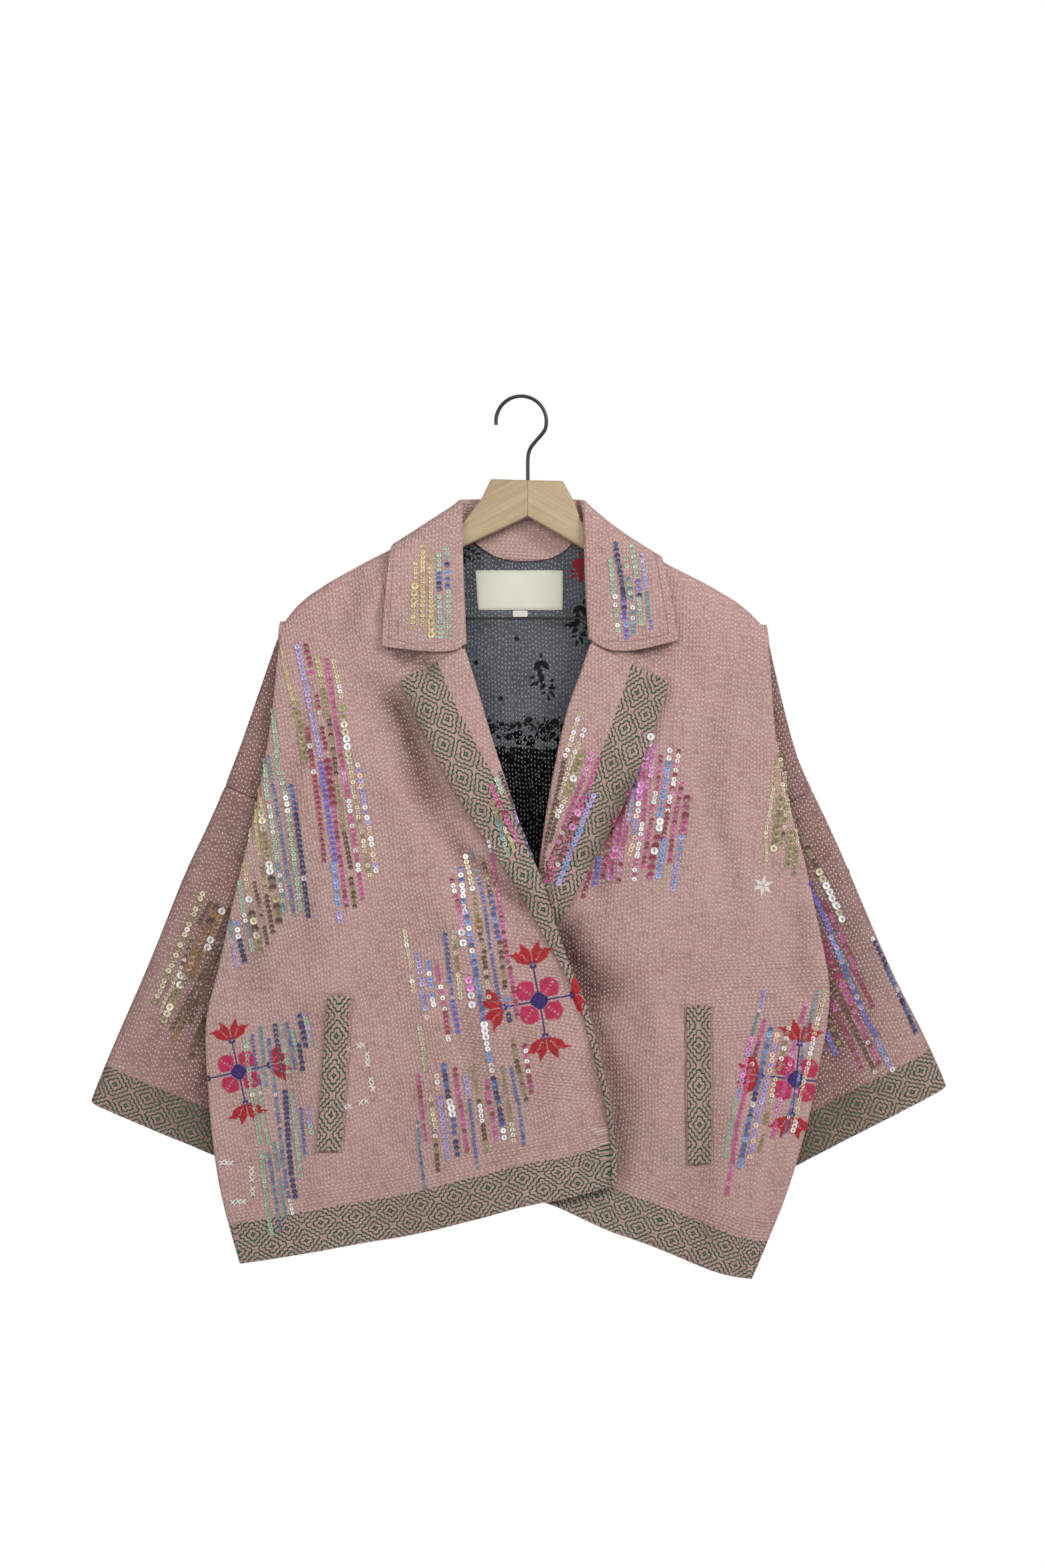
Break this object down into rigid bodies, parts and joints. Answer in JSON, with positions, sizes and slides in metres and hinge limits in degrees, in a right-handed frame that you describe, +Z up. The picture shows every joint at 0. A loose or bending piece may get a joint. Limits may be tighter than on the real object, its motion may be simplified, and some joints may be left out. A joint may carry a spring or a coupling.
{
  "type": "blanket coat on a wooden hanger",
  "caption": "Short quilted blanket coat with notched collar, wide sleeves and stitched bands, hung flat on a wooden hanger with a metal hook.",
  "frame": {"origin": "inside top of the hanger's hook, where a rail or a peg carries it", "axes": "+X to the viewer's right as the coat's front is seen, +Z up, the front faces -Y, the hanger lies in the plane y = 0"},
  "size_m": [0.7965, 0.0452, 0.8206],
  "materials": {
    "quilted_cloth": "matt cotton with running stitch",
    "green_stitched_cloth": "matt, covered with stitches",
    "label_cloth": "plain woven",
    "pale_wood": "satin, unstained",
    "black_metal": "black, satin"
  },
  "bodies": {
    "root": {"front_right": "quilted_cloth", "front_left": "quilted_cloth", "back": "quilted_cloth", "shoulder_right": "quilted_cloth", "sleeve_right": "quilted_cloth", "shoulder_left": "quilted_cloth", "sleeve_left": "quilted_cloth", "facing_right": "quilted_cloth", "facing_left": "quilted_cloth", "collar": "quilted_cloth", "welt_right": "green_stitched_cloth", "welt_left": "green_stitched_cloth", "label": "label_cloth", "size_tab": "label_cloth", "hanger_wood": "pale_wood", "hanger_hook": "black_metal", "trouser_bar": "black_metal"}
  },
  "joints": []
}
